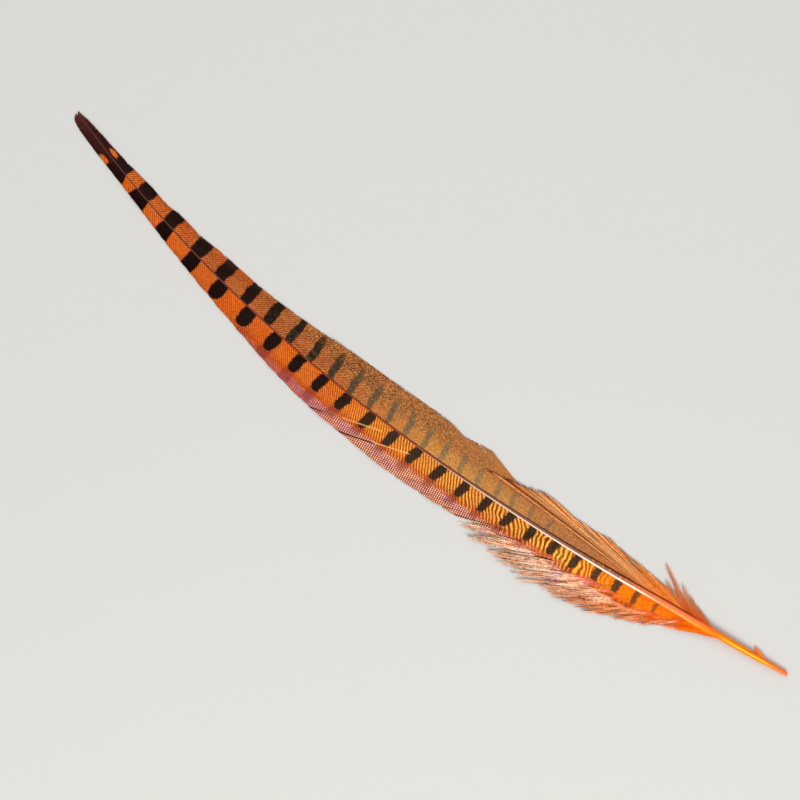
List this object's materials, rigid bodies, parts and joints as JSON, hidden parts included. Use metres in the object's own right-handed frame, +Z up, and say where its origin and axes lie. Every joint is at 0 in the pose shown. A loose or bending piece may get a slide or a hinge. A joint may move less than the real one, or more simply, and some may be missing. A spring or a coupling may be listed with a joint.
{
  "type": "pheasant tail feather",
  "caption": "Long barred tail feather of a cock pheasant, with a bare quill, a tapering shaft, two close vanes and a fringe of loose barbs, lying flat with its upper side up.",
  "frame": {"origin": "middle of the object's box, on the surface that the feather lies on", "axes": "+X from the cut end of the quill to the tip of the feather, +Y towards the left vane, +Z up from the surface, through the feather's upper side"},
  "size_m": [0.4994, 0.0604, 0.0067],
  "materials": {
    "vane": "matt barbs in orange-brown and tan, with dark brown bars",
    "shaft": "satin keratin, cream and mauve above, orange at the quill"
  },
  "bodies": {
    "root": {"feather": "vane"}
  },
  "joints": []
}
